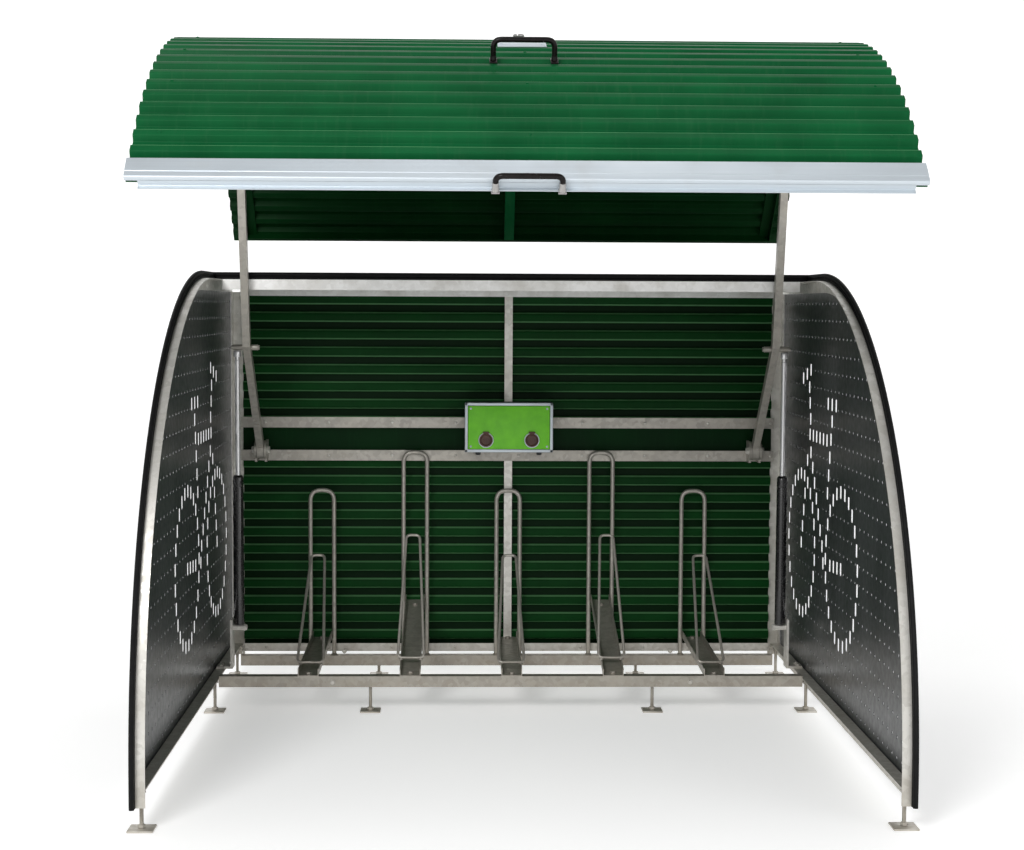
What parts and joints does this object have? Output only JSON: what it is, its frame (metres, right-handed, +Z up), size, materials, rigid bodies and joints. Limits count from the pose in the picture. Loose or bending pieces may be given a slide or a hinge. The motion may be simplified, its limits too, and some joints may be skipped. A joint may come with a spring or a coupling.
{
  "type": "bike hangar",
  "caption": "Lockable on-street bike hangar: perforated D-shaped sides, corrugated rear wall, curved corrugated lid raised on gas-sprung arms, and wheel racks inside.",
  "frame": {"origin": "on the ground, under the middle of the whole part with the lid raised", "axes": "+X across the front to the right as seen from the front, +Y to the rear wall, +Z up"},
  "size_m": [2.126, 2.2584, 2.2496],
  "materials": {
    "galvanised": "hot-dip galvanised, weathered",
    "green_sheet": "satin coil coating",
    "panel_grey": "satin powder coat",
    "fascia": "satin anodised",
    "seal_rubber": "matte",
    "tube_black": "gloss",
    "rod_steel": "ground",
    "handle_black": "satin",
    "lock_chrome": "polished",
    "box_body": "matte",
    "box_cover": "satin",
    "socket_brown": "matte"
  },
  "bodies": {
    "frame": {"right_arch": "galvanised", "left_arch": "galvanised", "right_side_panel": "panel_grey", "left_side_panel": "panel_grey", "right_bottom_rail": "galvanised", "left_bottom_rail": "galvanised", "right_rear_post": "galvanised", "left_rear_post": "galvanised", "lid_seal": "seal_rubber", "roof_front_rail": "galvanised", "roof_sheet": "green_sheet", "rear_top_rail": "galvanised", "upper_mid_rail": "galvanised", "lower_mid_rail": "galvanised", "rear_bottom_rail": "galvanised", "rear_wall_upper": "green_sheet", "rear_wall_strip": "green_sheet", "rear_wall_lower": "green_sheet", "rear_mullions": "galvanised", "front_beam": "galvanised", "rear_beam": "galvanised", "front_feet": "galvanised", "middle_feet": "galvanised", "rear_feet": "galvanised", "wheel_tray_1": "galvanised", "wheel_hoop_1": "galvanised", "wheel_tray_2": "galvanised", "wheel_hoop_2": "galvanised", "wheel_tray_3": "galvanised", "wheel_hoop_3": "galvanised", "wheel_tray_4": "galvanised", "wheel_hoop_4": "galvanised", "wheel_tray_5": "galvanised", "wheel_hoop_5": "galvanised", "wheel_loops": "galvanised", "hinge_brackets": "galvanised", "strut_feet": "galvanised", "utility_box": "box_body", "utility_cover": "box_cover", "utility_sockets": "socket_brown"},
    "lid": {"lid_sheet": "green_sheet", "lid_right_rim": "green_sheet", "lid_left_rim": "green_sheet", "lid_centre_rib": "green_sheet", "lid_rear_rail": "green_sheet", "lid_front_rail": "fascia", "right_lid_arm": "galvanised", "left_lid_arm": "galvanised", "front_handle": "handle_black", "top_handle": "handle_black", "lid_lock": "lock_chrome"},
    "left_tube": {"left_strut_tube": "tube_black"},
    "left_rod": {"left_strut_rod": "rod_steel"},
    "right_tube": {"right_strut_tube": "tube_black"},
    "right_rod": {"right_strut_rod": "rod_steel"}
  },
  "joints": [
    {"name": "lid_hinge", "type": "hinge", "parent": "frame", "child": "lid", "pos_m": [0, 0.98084, 0.866], "axis": [1, 0, 0], "range_deg": [0, 44.5]},
    {"name": "left_strut_swing", "type": "hinge", "parent": "frame", "child": "left_tube", "pos_m": [-0.966, 0.59484, 0.262], "axis": [1, 0, 0], "range_deg": [-0.01, 15.39]},
    {"name": "left_strut_slide", "type": "slide", "parent": "left_tube", "child": "left_rod", "axis": [0, -0.0181, 0.9998], "range_m": [-0.37032, 0.0001]},
    {"name": "right_strut_swing", "type": "hinge", "parent": "frame", "child": "right_tube", "pos_m": [0.966, 0.59484, 0.262], "axis": [1, 0, 0], "range_deg": [-0.01, 15.39]},
    {"name": "right_strut_slide", "type": "slide", "parent": "right_tube", "child": "right_rod", "axis": [0, -0.0181, 0.9998], "range_m": [-0.37032, 0.0001]}
  ],
  "couplings": [
    {"joint": "left_strut_swing", "follows": "lid_hinge", "ratio": 0.34566},
    {"joint": "left_strut_slide", "follows": "lid_hinge", "m_per_rad": -0.47667},
    {"joint": "right_strut_swing", "follows": "lid_hinge", "ratio": 0.34566},
    {"joint": "right_strut_slide", "follows": "lid_hinge", "m_per_rad": -0.47667}
  ]
}
